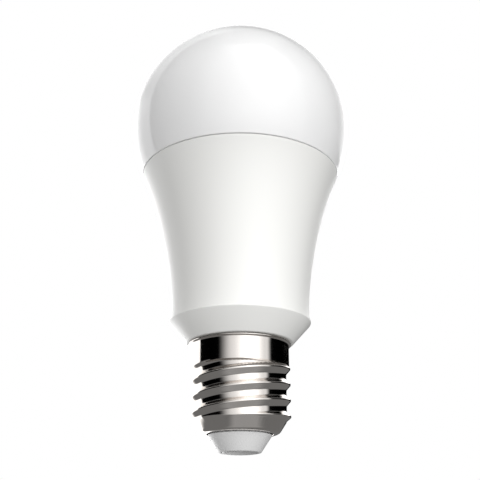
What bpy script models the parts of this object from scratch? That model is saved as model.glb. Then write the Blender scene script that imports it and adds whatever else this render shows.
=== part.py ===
"""Smart light bulb: an A60 LED lamp with an E27 screw cap and a radio module inside.

The lamp stands on its centre contact, cap down, with its axis along +Z. The origin is
the middle of the contact's flat face. Run: blender --background --python part.py
"""
import math

import bmesh
import bpy
from mathutils import Matrix

MM = 0.001
GAP = 0.3 * MM               # clearance kept between pieces that touch
ROUND = 40                   # sides of the big turned shells
SMALL_ROUND = 16             # sides of the small turned parts

# Globe: an ellipsoid bowl that continues the line of the housing
GLOBE_RADIUS = 30.3 * MM
GLOBE_EQUATOR = 90.0 * MM
GLOBE_RISE = 29.4 * MM       # equator to crown
GLOBE_DROP = 33.2 * MM       # lower half-axis of the ellipse that meets the housing
GLOBE_WALL = 1.3 * MM
SEAM = 75.1 * MM             # top edge of the housing
SEAM_GAP = 0.35 * MM
SPIGOT_FOOT = 72.4 * MM      # lower end of the globe's spigot, inside the housing

# Housing: a waisted wall on a chamfered collar, with a neck that the screw shell grips
HOUSING_WALL = 1.7 * MM
WAIST_RADIUS = 18.35 * MM
WAIST_FOOT = 33.4 * MM
MOUTH_RADIUS = 27.1 * MM
WALL_HANDLE_LOW = (17.55 * MM, 41.0 * MM)
WALL_HANDLE_HIGH = (20.9 * MM, 62.2 * MM)
COLLAR_LIP_RADIUS = 18.6 * MM
COLLAR_LIP = 33.0 * MM
COLLAR_FOOT_RADIUS = 13.9 * MM
COLLAR_FOOT = 27.8 * MM
NECK_RADIUS = 10.95 * MM
NECK_BORE = 9.4 * MM
NECK_FOOT = 14.0 * MM

# Screw shell: E27, single start, right-handed
THREAD_PITCH = 3.629 * MM
CREST_RADIUS = 13.1 * MM
ROOT_RADIUS = 11.6 * MM
THREAD_FOOT = 8.3 * MM
THREAD_HEAD = 21.5 * MM
CREST_HEIGHT = 14.9 * MM     # height of one crest where it crosses -Y
LOWER_FLANK = 0.40           # parts of one pitch
UPPER_FLANK = 0.26
BAND_RADIUS = 12.67 * MM
RIM_RADIUS = 13.3 * MM
RIM_HEIGHT = COLLAR_FOOT - GAP
SHELL_SHEET = 0.35 * MM
CUP_FLOOR = 4.6 * MM
CUP_HOLE_RADIUS = 8.35 * MM
SHELL_SIDES = 32
ROWS_PER_PITCH = 7

# Cap insulator and centre contact
CONTACT_RADIUS = 4.5 * MM
CONTACT_THICKNESS = 0.6 * MM
RIVET_RADIUS = 1.1 * MM
RIVET_TOP = 9.0 * MM
INSULATOR_FOOT = 0.4 * MM
INSULATOR_FOOT_RADIUS = 5.05 * MM
INSULATOR_TOP_RADIUS = 8.0 * MM
INSULATOR_SHOULDER = 4.3 * MM
FLANGE_RADIUS = 9.0 * MM
FLANGE_FOOT = 5.3 * MM
FLANGE_TOP = 6.5 * MM

# Heat sink, thermal pad and LED board, stacked on the lamp's axis
PLATE_FOOT = 67.3 * MM
PLATE_TOP = 68.5 * MM
SINK_SHEET = 1.1 * MM
PAD_RADIUS = 20.5 * MM
PAD_THICKNESS = 0.4 * MM
BOARD_RADIUS = 21.0 * MM
BOARD_THICKNESS = 1.2 * MM
PAD_FOOT = PLATE_TOP + GAP
BOARD_FOOT = PAD_FOOT + PAD_THICKNESS + GAP
BOARD_TOP = BOARD_FOOT + BOARD_THICKNESS
SLOT_HALF_WIDTH = 8.6 * MM
SLOT_FRONT = -3.2 * MM
SLOT_BACK = 4.5 * MM
SCREW_REACH = 12.6 * MM      # screws stand this far from the axis
SCREW_HOLE_RADIUS = 1.5 * MM

# LED packages
LED_SIZE = (2.8 * MM, 3.5 * MM, 0.7 * MM)
WHITE_LEDS = 12
WHITE_LED_CIRCLE = 17.2 * MM
COLOUR_LEDS = 4
COLOUR_LED_CIRCLE = 11.2 * MM

# Driver board, upright in the XZ plane, and its insulating sleeve
DRIVER_THICKNESS = 1.6 * MM
DRIVER_FOOT = 14.0 * MM
DRIVER_STEP = 33.2 * MM
DRIVER_TOP = 62.0 * MM
DRIVER_LOWER_HALF = 8.6 * MM
DRIVER_UPPER_HALF = 12.6 * MM
SLEEVE_RADIUS = 14.3 * MM
SLEEVE_WALL = 0.6 * MM
SLEEVE_FOOT = 34.6 * MM
SLEEVE_TOP = 65.0 * MM

# Radio module, upright behind the driver board, with its antenna above the LED board
RADIO_FRONT = 3.0 * MM
RADIO_THICKNESS = 1.0 * MM
RADIO_HALF_WIDTH = 8.0 * MM
RADIO_FOOT = 56.0 * MM
RADIO_TOP = 84.0 * MM


def clear_scene():
    """Remove whatever objects the opened file holds."""
    for thing in list(bpy.data.objects):
        bpy.data.objects.remove(thing, do_unlink=True)


def make_material(name, colour, roughness, metallic=0.0):
    """One Principled material for each finish."""
    material = bpy.data.materials.new(name)
    material.use_nodes = True
    shader = material.node_tree.nodes["Principled BSDF"]
    shader.inputs["Base Color"].default_value = (*colour, 1.0)
    shader.inputs["Roughness"].default_value = roughness
    shader.inputs["Metallic"].default_value = metallic
    return material


def make_materials():
    """The finishes of the lamp, by name."""
    return {
        "opal": make_material("opal", (0.90, 0.90, 0.90), 0.12),
        "housing": make_material("housing", (0.86, 0.86, 0.845), 0.35),
        "silicone": make_material("silicone", (0.80, 0.80, 0.80), 0.6),
        "aluminium": make_material("aluminium", (0.78, 0.79, 0.80), 0.4, 1.0),
        "thermal_pad": make_material("thermal_pad", (0.45, 0.47, 0.50), 0.8),
        "white_board": make_material("white_board", (0.88, 0.88, 0.86), 0.4),
        "green_board": make_material("green_board", (0.05, 0.22, 0.09), 0.4),
        "black_board": make_material("black_board", (0.03, 0.03, 0.035), 0.4),
        "white_led": make_material("white_led", (0.90, 0.75, 0.25), 0.4),
        "colour_led": make_material("colour_led", (0.85, 0.88, 0.88), 0.3),
        "steel": make_material("steel", (0.60, 0.60, 0.60), 0.35, 1.0),
        "tinned": make_material("tinned", (0.72, 0.72, 0.70), 0.3, 1.0),
        "copper": make_material("copper", (0.80, 0.45, 0.25), 0.35, 1.0),
        "black_plastic": make_material("black_plastic", (0.02, 0.02, 0.02), 0.5),
        "sleeve": make_material("sleeve", (0.82, 0.82, 0.78), 0.45),
        "can": make_material("can", (0.70, 0.71, 0.73), 0.3, 1.0),
        "film": make_material("film", (0.55, 0.10, 0.05), 0.35),
        "can_sleeve": make_material("can_sleeve", (0.03, 0.04, 0.06), 0.35),
        "ferrite": make_material("ferrite", (0.06, 0.06, 0.06), 0.7),
        "winding_tape": make_material("winding_tape", (0.80, 0.62, 0.10), 0.5),
        "varistor_coat": make_material("varistor_coat", (0.05, 0.15, 0.45), 0.4),
        "resistor_coat": make_material("resistor_coat", (0.35, 0.52, 0.45), 0.5),
        "wire_red": make_material("wire_red", (0.55, 0.03, 0.03), 0.45),
        "wire_black": make_material("wire_black", (0.02, 0.02, 0.02), 0.45),
        "nickel": make_material("nickel", (0.78, 0.76, 0.73), 0.12, 1.0),
        "cap_insulator": make_material("cap_insulator", (0.68, 0.68, 0.68), 0.35),
        "contact": make_material("contact", (0.62, 0.62, 0.61), 0.3, 1.0),
    }


def add_object(name, data, material):
    """Link one named piece, with its material, into the scene."""
    if not data.materials:
        data.materials.append(material)
    piece = bpy.data.objects.new(name, data)
    bpy.context.scene.collection.objects.link(piece)
    return piece


def close_mesh(name, shape):
    """Merge doubles, face every side outwards, shade round sides smooth."""
    bmesh.ops.remove_doubles(shape, verts=shape.verts, dist=MM / 1000)
    bmesh.ops.recalc_face_normals(shape, faces=shape.faces)
    mesh = bpy.data.meshes.new(name)
    shape.to_mesh(mesh)
    shape.free()
    mesh.shade_smooth()
    mesh.set_sharp_from_angle(angle=math.radians(35))
    return mesh


def turned_mesh(name, outline, sides=SMALL_ROUND):
    """Spin a closed outline of (radius, height) points about the Z axis."""
    shape = bmesh.new()
    points = [shape.verts.new((radius, 0.0, height)) for radius, height in outline]
    edges = []
    for here, there in zip(points, points[1:] + points[:1]):
        if here.co.x > 0.0 or there.co.x > 0.0:
            edges.append(shape.edges.new((here, there)))
    bmesh.ops.spin(shape, geom=points + edges, axis=(0, 0, 1), cent=(0, 0, 0),
                   angle=math.tau, steps=sides, use_merge=True)
    return close_mesh(name, shape)


def extruded_mesh(name, outline, height):
    """A flat plate: a closed (x, y) outline extruded from z = 0 to the height."""
    shape = bmesh.new()
    face = shape.faces.new([shape.verts.new((x, y, 0.0)) for x, y in outline])
    grown = bmesh.ops.extrude_face_region(shape, geom=[face])["geom"]
    top = [item for item in grown if isinstance(item, bmesh.types.BMVert)]
    bmesh.ops.translate(shape, verts=top, vec=(0.0, 0.0, height))
    return close_mesh(name, shape)


def box_mesh(name, size):
    """A box of the given size, centred on its origin."""
    shape = bmesh.new()
    bmesh.ops.create_cube(shape, size=1.0, matrix=Matrix.Diagonal((*size, 1.0)))
    return close_mesh(name, shape)


def add_box(name, low, high, material):
    """A box between two opposite corners."""
    size = [top - bottom for bottom, top in zip(low, high)]
    piece = add_object(name, box_mesh(name, size), material)
    piece.location = [(bottom + top) / 2 for bottom, top in zip(low, high)]
    return piece


def add_bevel(piece, width):
    """Round the piece's edges by one small chamfer."""
    bevel = piece.modifiers.new("edge", "BEVEL")
    bevel.width = width
    bevel.segments = 1
    return piece


def cut(piece, cutter):
    """Subtract a hidden cutter object from the piece."""
    cutter.hide_render = True
    cutter.display_type = "WIRE"
    boolean = piece.modifiers.new(cutter.name, "BOOLEAN")
    boolean.operation = "DIFFERENCE"
    boolean.object = cutter


def add_wire(name, points, radius, material, sharp=False):
    """A round wire along a smooth curve through the points."""
    path = points if sharp else smooth_path(points, 4)
    curve = bpy.data.curves.new(name, "CURVE")
    curve.dimensions = "3D"
    curve.bevel_depth = radius
    curve.bevel_resolution = 1
    curve.use_fill_caps = True
    spline = curve.splines.new("POLY")
    spline.points.add(len(path) - 1)
    for spot, place in zip(spline.points, path):
        spot.co = (*place, 1.0)
    return add_object(name, curve, material)


def smooth_path(points, steps):
    """Catmull-Rom curve through the points, with so many steps between each pair."""
    padded = [points[0]] + list(points) + [points[-1]]
    path = []
    for a, b, c, d in zip(padded, padded[1:], padded[2:], padded[3:]):
        for step in range(steps):
            t = step / steps
            path.append([
                0.5 * (2 * q + (r - p) * t + (2 * p - 5 * q + 4 * r - s) * t ** 2
                       + (3 * q - p - 3 * r + s) * t ** 3)
                for p, q, r, s in zip(a, b, c, d)])
    path.append(list(points[-1]))
    return path


def ramp(value, low, high):
    """0 below the low value, 1 above the high one, and a smooth rise between."""
    t = min(1.0, max(0.0, (value - low) / (high - low)))
    return t * t * (3 - 2 * t)


def wall_outline(inset, steps=9, low=0.0, high=1.0):
    """The waisted wall from foot to mouth, moved inwards by the inset."""
    corners = [(WAIST_RADIUS, WAIST_FOOT), WALL_HANDLE_LOW, WALL_HANDLE_HIGH,
               (MOUTH_RADIUS, SEAM)]
    outline = []
    for step in range(steps + 1):
        t = low + (high - low) * step / steps
        weights = [(1 - t) ** 3, 3 * t * (1 - t) ** 2, 3 * t * t * (1 - t), t ** 3]
        radius = sum(w * corner[0] for w, corner in zip(weights, corners))
        height = sum(w * corner[1] for w, corner in zip(weights, corners))
        outline.append((radius - inset, height))
    return outline


def globe_outline(inset, foot, steps=13):
    """The globe from its foot height to its crown, moved inwards by the inset."""
    start = -math.asin((GLOBE_EQUATOR - foot) / GLOBE_DROP)
    outline = []
    for step in range(steps + 1):
        angle = start + (math.pi / 2 - start) * step / steps
        axis = GLOBE_RISE if angle > 0 else GLOBE_DROP
        radius = (GLOBE_RADIUS - inset) * math.cos(angle)
        height = GLOBE_EQUATOR + (axis - inset) * math.sin(angle)
        outline.append((max(radius, 0.0), height))
    outline[-1] = (0.0, outline[-1][1])
    return outline


def make_globe(materials):
    """Hollow opal bowl with a spigot that drops into the housing's mouth."""
    foot = SEAM + SEAM_GAP
    outer = globe_outline(0.0, foot)
    inner = globe_outline(GLOBE_WALL, foot + GLOBE_WALL)
    mouth = MOUTH_RADIUS - HOUSING_WALL - GAP
    lean = 1.25 * MM             # the housing's wall leans inwards over the spigot
    spigot = [
        (mouth - lean - GLOBE_WALL, SPIGOT_FOOT),
        (mouth - lean, SPIGOT_FOOT),
        (mouth, foot - SEAM_GAP),
        (mouth, foot),
    ]
    outline = spigot + outer + inner[::-1]
    add_object("diffuser_globe", turned_mesh("globe", outline, ROUND), materials["opal"])


def make_bond(materials):
    """Silicone bead under the spigot, against the housing."""
    inner, outer = 22.3 * MM, 23.3 * MM
    low, high = 70.4 * MM, 72.0 * MM
    outline = [(inner, low), (outer - 0.5 * MM, low), (outer, high), (inner, high)]
    add_object("diffuser_bond", turned_mesh("bond", outline, ROUND), materials["silicone"])


def make_housing(materials):
    """Plastic body: waisted wall, chamfered collar and the neck inside the cap."""
    inner_wall = wall_outline(HOUSING_WALL, 7, 0.06)
    outline = [
        (NECK_BORE, NECK_FOOT),
        (NECK_RADIUS, NECK_FOOT),
        (NECK_RADIUS, COLLAR_FOOT),
        (COLLAR_FOOT_RADIUS - 0.2 * MM, COLLAR_FOOT),
        (COLLAR_FOOT_RADIUS, COLLAR_FOOT + 0.15 * MM),
        (COLLAR_LIP_RADIUS - 0.15 * MM, COLLAR_LIP - 0.2 * MM),
        (COLLAR_LIP_RADIUS, COLLAR_LIP),
        (COLLAR_LIP_RADIUS, COLLAR_LIP + 0.2 * MM),
    ]
    outline += wall_outline(0.0, 12)
    outline += inner_wall[::-1]
    outline += [(11.0 * MM, 30.2 * MM), (NECK_BORE, 29.4 * MM)]
    add_object("housing_shell", turned_mesh("housing", outline, ROUND), materials["housing"])


def thread_form(turns):
    """Height of the thread, 0 at the root and 1 on the crest, against turns from it."""
    offset = (turns + 0.5) % 1.0 - 0.5
    flank = LOWER_FLANK if offset < 0 else UPPER_FLANK
    t = max(0.0, 1.0 - abs(offset) / flank)
    return 0.5 * t + 0.5 * t * t * (3 - 2 * t)


def thread_radius(angle, height):
    """Outer radius of the rolled shell between the cup and the band."""
    crest = CREST_HEIGHT + THREAD_PITCH * (angle / math.tau + 0.25)
    form = thread_form((height - crest) / THREAD_PITCH)
    form *= ramp(height, THREAD_FOOT - 0.6 * MM, THREAD_FOOT + 0.8 * MM)
    radius = ROOT_RADIUS + (CREST_RADIUS - ROOT_RADIUS) * form
    blend = ramp(height, THREAD_HEAD - 1.1 * MM, THREAD_HEAD)
    return radius + (BAND_RADIUS - radius) * blend


def make_screw_shell(materials):
    """Rolled sheet shell: cup with a hole, thread, plain band and flared rim."""
    rows = round((THREAD_HEAD - THREAD_FOOT) / THREAD_PITCH * ROWS_PER_PITCH)
    cup = [(CUP_HOLE_RADIUS, CUP_FLOOR), (9.45 * MM, CUP_FLOOR + 0.1 * MM),
           (10.25 * MM, 5.7 * MM), (11.3 * MM, 7.6 * MM)]
    band = [(BAND_RADIUS, THREAD_HEAD + 0.3 * MM), (BAND_RADIUS, RIM_HEIGHT - 0.7 * MM),
            (RIM_RADIUS, RIM_HEIGHT - 0.25 * MM), (RIM_RADIUS, RIM_HEIGHT)]
    rim_inside = [(BAND_RADIUS - SHELL_SHEET, RIM_HEIGHT)]

    def ring_at(shape, angle):
        heights = [THREAD_FOOT + (THREAD_HEAD - THREAD_FOOT) * row / rows
                   for row in range(rows + 1)]
        thread = [(thread_radius(angle, height), height) for height in heights]
        outside = cup + thread + band
        inside = [(radius - SHELL_SHEET, height) for radius, height in thread]
        floor = [(radius - SHELL_SHEET, height + 0.1 * MM) for radius, height in cup[2:]]
        floor_inside = [(CUP_HOLE_RADIUS, CUP_FLOOR + SHELL_SHEET),
                        (9.3 * MM, CUP_FLOOR + SHELL_SHEET + 0.1 * MM)]
        outline = outside + rim_inside + inside[::-1] + floor[::-1] + floor_inside[::-1]
        return [shape.verts.new((radius * math.cos(angle), radius * math.sin(angle), height))
                for radius, height in outline]

    shape = bmesh.new()
    rings = [ring_at(shape, math.tau * side / SHELL_SIDES) for side in range(SHELL_SIDES)]
    for near, far in zip(rings, rings[1:] + rings[:1]):
        for k in range(len(near)):
            shape.faces.new((near[k - 1], far[k - 1], far[k], near[k]))
    add_object("screw_shell", close_mesh("screw_shell", shape), materials["nickel"])


def make_cap_insulator(materials):
    """Conical insulator, held in the cup's hole by its inside flange."""
    bore = RIVET_RADIUS + GAP
    recess = CONTACT_THICKNESS + GAP
    outline = [
        (bore, recess),
        (CONTACT_RADIUS + GAP, recess),
        (CONTACT_RADIUS + GAP, INSULATOR_FOOT),
        (INSULATOR_FOOT_RADIUS, INSULATOR_FOOT),
        (INSULATOR_TOP_RADIUS, INSULATOR_SHOULDER),
        (INSULATOR_TOP_RADIUS, FLANGE_FOOT),
        (FLANGE_RADIUS, FLANGE_FOOT),
        (FLANGE_RADIUS, FLANGE_TOP),
        (4.0 * MM, FLANGE_TOP),
        (3.4 * MM, 8.0 * MM),
        (bore, 8.0 * MM),
    ]
    mesh = turned_mesh("cap_insulator", outline, 32)
    add_object("cap_insulator", mesh, materials["cap_insulator"])


def make_centre_contact(materials):
    """Contact disc with the rivet stem that carries the live wire."""
    edge = 0.15 * MM
    outline = [
        (0.0, 0.0),
        (CONTACT_RADIUS - edge, 0.0),
        (CONTACT_RADIUS, edge),
        (CONTACT_RADIUS, CONTACT_THICKNESS),
        (RIVET_RADIUS, CONTACT_THICKNESS),
        (RIVET_RADIUS, RIVET_TOP),
        (0.0, RIVET_TOP),
    ]
    mesh = turned_mesh("centre_contact", outline, 32)
    add_object("centre_contact", mesh, materials["contact"])


def cut_board_openings(piece, foot, thickness):
    """Cut the module's slot and the two screw holes through a disc of the stack."""
    reach = thickness + 2 * MM
    low = (-SLOT_HALF_WIDTH, SLOT_FRONT, foot - MM)
    high = (SLOT_HALF_WIDTH, SLOT_BACK, foot - MM + reach)
    cut(piece, add_box(piece.name + "_slot", low, high, piece.active_material))
    for side, label in ((-1, "left"), (1, "right")):
        outline = [(0.0, 0.0), (SCREW_HOLE_RADIUS, 0.0), (SCREW_HOLE_RADIUS, reach),
                   (0.0, reach)]
        drill = add_object(piece.name + "_hole_" + label,
                           turned_mesh("drill", outline, 12), piece.active_material)
        drill.location = (side * SCREW_REACH, 0.0, foot - MM)
        cut(piece, drill)


def make_heat_sink(materials):
    """Drawn aluminium cup: a flat top for the LED board and a skirt along the housing."""
    inset = HOUSING_WALL + GAP
    skirt = wall_outline(inset, 6, 0.15, 0.86)
    top_radius = 21.4 * MM
    inner = [(radius - SINK_SHEET, height) for radius, height in skirt]
    outline = skirt + [(top_radius, PLATE_TOP), (0.0, PLATE_TOP), (0.0, PLATE_FOOT),
                       (top_radius - SINK_SHEET, PLATE_FOOT)] + inner[::-1]
    sink = add_object("heat_sink", turned_mesh("heat_sink", outline, ROUND),
                      materials["aluminium"])
    cut_board_openings(sink, PLATE_FOOT, PLATE_TOP - PLATE_FOOT)


def make_disc(name, radius, foot, thickness, material):
    """A round plate of the stack, with the module's slot and the screw holes."""
    outline = [(0.0, foot), (radius, foot), (radius, foot + thickness),
               (0.0, foot + thickness)]
    disc = add_object(name, turned_mesh(name, outline, 32), material)
    cut_board_openings(disc, foot, thickness)


def make_leds(materials):
    """White packages on the outer circle, colour packages on the inner one."""
    groups = (
        ("led_white", WHITE_LEDS, WHITE_LED_CIRCLE, 0.5, "white_led"),
        ("led_colour", COLOUR_LEDS, COLOUR_LED_CIRCLE, 0.5, "colour_led"),
    )
    for name, count, circle, start, finish in groups:
        mesh = box_mesh(name, LED_SIZE)
        for number in range(count):
            angle = math.tau * (number + start) / count
            led = add_object(f"{name}_{number + 1:02d}", mesh, materials[finish])
            led.location = (circle * math.cos(angle), circle * math.sin(angle),
                            BOARD_TOP + GAP + LED_SIZE[2] / 2)
            led.rotation_euler = (0.0, 0.0, angle)


def cross_outline(arm, half):
    """A plus sign, arm long and half wide, as a closed outline."""
    quarter = [(arm, -half), (arm, half), (half, half)]
    outline = []
    for turn in range(4):
        for x, y in quarter:
            for _ in range(turn):
                x, y = -y, x
            outline.append((x, y))
    return outline


def make_board_screws(materials):
    """Two pan-head tapping screws that hold the LED board on the heat sink."""
    head_radius, head_height = 2.3 * MM, 1.3 * MM
    shank_radius, tip = 1.15 * MM, 63.6 * MM
    seat = BOARD_TOP + GAP
    outline = [
        (0.0, tip), (shank_radius / 2, tip), (shank_radius, tip + 0.8 * MM),
        (shank_radius, seat), (head_radius, seat),
        (head_radius, seat + head_height / 2),
        (head_radius * 0.7, seat + head_height), (0.0, seat + head_height),
    ]
    mesh = turned_mesh("board_screw", outline, 12)
    for side, label in ((-1, "left"), (1, "right")):
        screw = add_object(f"board_screw_{label}", mesh, materials["steel"])
        screw.location.x = side * SCREW_REACH
        recess = extruded_mesh("recess", cross_outline(1.2 * MM, 0.25 * MM), 2 * MM)
        cutter = add_object(f"recess_{label}", recess, materials["steel"])
        cutter.location = (side * SCREW_REACH, 0.0, seat + head_height / 2)
        cut(screw, cutter)


def make_driver_board(materials):
    """Upright board: narrow in the cap, wide in the housing."""
    low, high = DRIVER_LOWER_HALF, DRIVER_UPPER_HALF
    outline = [(-low, DRIVER_FOOT), (low, DRIVER_FOOT), (low, DRIVER_STEP - 2 * MM),
               (high, DRIVER_STEP + MM), (high, DRIVER_TOP), (-high, DRIVER_TOP),
               (-high, DRIVER_STEP + MM), (-low, DRIVER_STEP - 2 * MM)]
    mesh = extruded_mesh("driver_board", outline, DRIVER_THICKNESS)
    board = add_object("driver_board", mesh, materials["green_board"])
    board.rotation_euler.x = math.pi / 2
    board.location.y = DRIVER_THICKNESS / 2


def make_sleeve(materials):
    """Insulating tube between the driver's parts and the heat sink."""
    inner = SLEEVE_RADIUS - SLEEVE_WALL
    outline = [(inner, SLEEVE_FOOT), (SLEEVE_RADIUS, SLEEVE_FOOT),
               (SLEEVE_RADIUS, SLEEVE_TOP), (inner, SLEEVE_TOP)]
    add_object("driver_sleeve", turned_mesh("sleeve", outline, 32), materials["sleeve"])


def add_can_capacitor(name, radius, length, place, material):
    """Electrolytic capacitor: a can with a rolled groove and a chamfered top."""
    edge, groove = 0.5 * MM, 0.4 * MM
    outline = [
        (0.0, 0.0), (radius, 0.0), (radius, 1.2 * MM), (radius - groove, 1.6 * MM),
        (radius, 2.0 * MM), (radius, length - edge), (radius - edge, length), (0.0, length),
    ]
    piece = add_object(name, turned_mesh(name, outline, 20), material)
    piece.location = place


def make_transformer(materials):
    """Ferrite core with two windows, and the taped winding on its middle leg."""
    x_half, z_half = 6.0 * MM, 5.5 * MM
    front, back = -7.9 * MM, -3.3 * MM
    middle = 52.0 * MM
    leg, window, window_half = 1.5 * MM, 4.6 * MM, 4.0 * MM
    core = add_box("transformer_core", (-x_half, front, middle - z_half),
                   (x_half, back, middle + z_half), materials["ferrite"])
    for side, label in ((-1, "left"), (1, "right")):
        ends = sorted((side * leg, side * window))
        cutter = add_box("window_" + label, (ends[0], front - MM, middle - window_half),
                         (ends[1], back + MM, middle + window_half), materials["ferrite"])
        cut(core, cutter)
    winding = add_box("transformer_winding",
                      (-window + GAP, front - 1.9 * MM, middle - window_half + GAP),
                      (window - GAP, back + 1.9 * MM, middle + window_half - GAP),
                      materials["winding_tape"])
    bore = add_box("winding_bore", (-leg - GAP, front - GAP, middle - 2 * window_half),
                   (leg + GAP, back + GAP, middle + 2 * window_half),
                   materials["winding_tape"])
    cut(winding, bore)


def make_lying_part(name, outline, place, material):
    """A turned part whose axis points away from the board, along +Y."""
    piece = add_object(name, turned_mesh(name, outline, 20), material)
    piece.rotation_euler.x = -math.pi / 2
    piece.location = place


def make_driver_parts(materials):
    """The parts soldered to the two faces of the driver board."""
    face = DRIVER_THICKNESS / 2 + 2 * GAP
    add_can_capacitor("input_capacitor", 3.5 * MM, 13.0 * MM, (0, -face - 3.5 * MM, 15 * MM),
                      materials["can_sleeve"])
    add_can_capacitor("output_capacitor", 4.0 * MM, 11.0 * MM,
                      (-5.2 * MM, -face - 4.0 * MM, 34.5 * MM), materials["can_sleeve"])
    add_bevel(add_box("film_capacitor", (0.9 * MM, -face - 5.2 * MM, 35.2 * MM),
                      (9.9 * MM, -face, 44.6 * MM), materials["film"]), 0.6 * MM)
    add_box("bridge_rectifier", (2.4 * MM, face, 34.6 * MM), (8.4 * MM, 3.6 * MM, 39.6 * MM),
            materials["black_plastic"])
    add_box("driver_chip", (2.6 * MM, face, 44.0 * MM), (7.6 * MM, 3.0 * MM, 48.0 * MM),
            materials["black_plastic"])
    drum = [(0, 0), (4 * MM, 0), (4 * MM, MM), (3.2 * MM, 1.3 * MM), (3.2 * MM, 5.7 * MM),
            (4 * MM, 6 * MM), (4 * MM, 7 * MM), (0, 7 * MM)]
    make_lying_part("choke", drum, (-5.5 * MM, face, 42 * MM), materials["ferrite"])
    disc = [(0, 0), (2.6 * MM, 0), (3.3 * MM, 0.8 * MM), (3.3 * MM, 2.2 * MM),
            (2.6 * MM, 3 * MM), (0, 3 * MM)]
    make_lying_part("varistor", disc, (3.6 * MM, face, 20 * MM), materials["varistor_coat"])
    body = [(0, 0), (1.3 * MM, 0), (1.6 * MM, 0.6 * MM), (1.6 * MM, 7.4 * MM),
            (1.3 * MM, 8 * MM), (0, 8 * MM)]
    fuse = add_object("fuse_resistor", turned_mesh("fuse", body), materials["resistor_coat"])
    fuse.location = (-4.5 * MM, face + 1.6 * MM, 16 * MM)


def make_board_pins(materials):
    """Four square pins that carry the supply up to the LED board."""
    spacing, half = 2.54 * MM, 0.32 * MM
    middle = -DRIVER_THICKNESS / 2 - GAP - half - 0.1 * MM
    mesh = box_mesh("board_pin", (2 * half, 2 * half, 13.6 * MM))
    for number in range(4):
        pin = add_object(f"board_pin_{number + 1}", mesh, materials["tinned"])
        pin.location = ((number - 1.5) * spacing, middle, 65.0 * MM)


def make_radio_module(materials):
    """Header, small board, shield can over the radio chip, and the antenna above."""
    face = RADIO_FRONT + RADIO_THICKNESS + GAP
    add_box("radio_header", (-7 * MM, DRIVER_THICKNESS / 2 + GAP, 57.5 * MM),
            (7 * MM, RADIO_FRONT - GAP, 60 * MM), materials["black_plastic"])
    add_box("radio_board", (-RADIO_HALF_WIDTH, RADIO_FRONT, RADIO_FOOT),
            (RADIO_HALF_WIDTH, RADIO_FRONT + RADIO_THICKNESS, RADIO_TOP),
            materials["black_board"])
    can = add_box("radio_shield", (-6 * MM, face, 57.2 * MM), (6 * MM, 6.5 * MM, 66.4 * MM),
                  materials["can"])
    sheet = 0.4 * MM
    cut(can, add_box("shield_hollow", (-6 * MM + sheet, face - MM, 57.2 * MM + sheet),
                     (6 * MM - sheet, 6.5 * MM - sheet, 66.4 * MM - sheet),
                     materials["can"]))
    add_box("radio_chip", (-2.5 * MM, face, 59.3 * MM), (2.5 * MM, 5.3 * MM, 64.3 * MM),
            materials["black_plastic"])
    trace = 0.25 * MM
    points = []
    for fold in range(4):
        height = 74.0 * MM + fold * 2.4 * MM
        side = 1 if fold % 2 else -1
        points += [(side * 5.5 * MM, face + trace, height),
                   (-side * 5.5 * MM, face + trace, height)]
    add_wire("radio_antenna", points, trace, materials["copper"], sharp=True)


def make_supply_wires(materials):
    """Live wire from the rivet, neutral wire from the shell, up to the driver board."""
    face = -DRIVER_THICKNESS / 2 - 0.8 * MM
    radius = 0.35 * MM
    live = [(0, 0, RIVET_TOP + GAP), (1.2 * MM, -0.6 * MM, 10.8 * MM),
            (4.6 * MM, face, 12.4 * MM), (6.4 * MM, face, 14.6 * MM),
            (6.4 * MM, face, 18.0 * MM)]
    neutral = [(-10.55 * MM, 0, 12.8 * MM), (-8.6 * MM, -0.9 * MM, 12.0 * MM),
               (-6.8 * MM, face, 13.4 * MM), (-6.4 * MM, face, 15.6 * MM),
               (-6.4 * MM, face, 18.0 * MM)]
    add_wire("live_wire", live, radius, materials["wire_red"])
    add_wire("neutral_wire", neutral, radius, materials["wire_black"])


def build_lamp():
    """Build every piece, from the outside inwards."""
    clear_scene()
    materials = make_materials()
    make_globe(materials)
    make_bond(materials)
    make_housing(materials)
    make_screw_shell(materials)
    make_cap_insulator(materials)
    make_centre_contact(materials)
    make_heat_sink(materials)
    make_disc("thermal_pad", PAD_RADIUS, PAD_FOOT, PAD_THICKNESS, materials["thermal_pad"])
    make_disc("led_board", BOARD_RADIUS, BOARD_FOOT, BOARD_THICKNESS, materials["white_board"])
    make_leds(materials)
    make_board_screws(materials)
    make_sleeve(materials)
    make_driver_board(materials)
    make_driver_parts(materials)
    make_transformer(materials)
    make_board_pins(materials)
    make_radio_module(materials)
    make_supply_wires(materials)


build_lamp()
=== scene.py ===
"""Looks of the smart light bulb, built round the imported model, in metres, +Z up."""
import math

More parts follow.
